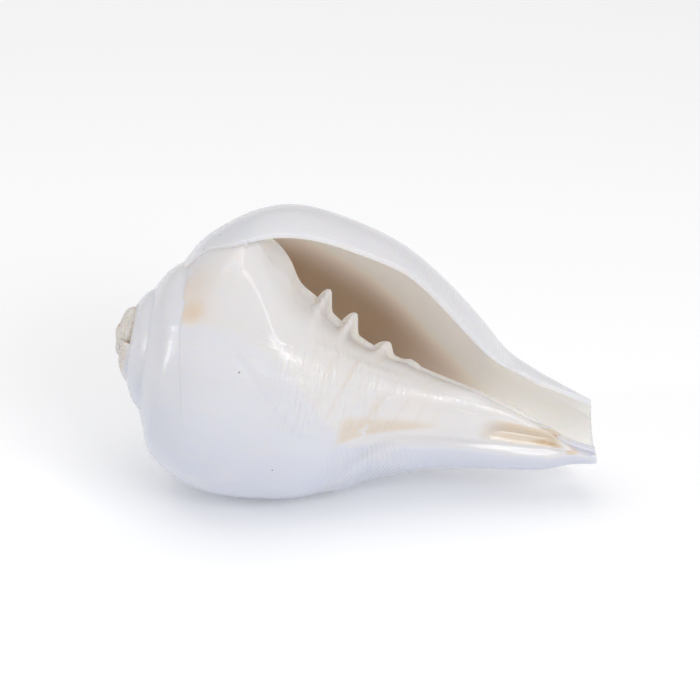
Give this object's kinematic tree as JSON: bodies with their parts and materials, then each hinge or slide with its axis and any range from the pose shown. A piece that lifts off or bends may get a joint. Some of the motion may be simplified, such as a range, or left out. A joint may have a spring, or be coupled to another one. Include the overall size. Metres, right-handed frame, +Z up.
{
  "type": "sacred chank shell",
  "caption": "White dextral sea-snail shell with a low spire, plaited columella and long open canal, lying on its side.",
  "frame": {"origin": "centre of the bounding box's underside, on the surface that the shell rests on", "axes": "+X from the apex to the end of the canal, +Z up, with the mouth turned towards -Y"},
  "size_m": [0.116, 0.067, 0.0727],
  "materials": {
    "shell": "polished white aragonite"
  },
  "bodies": {
    "root": {"shell": "shell"}
  },
  "joints": []
}
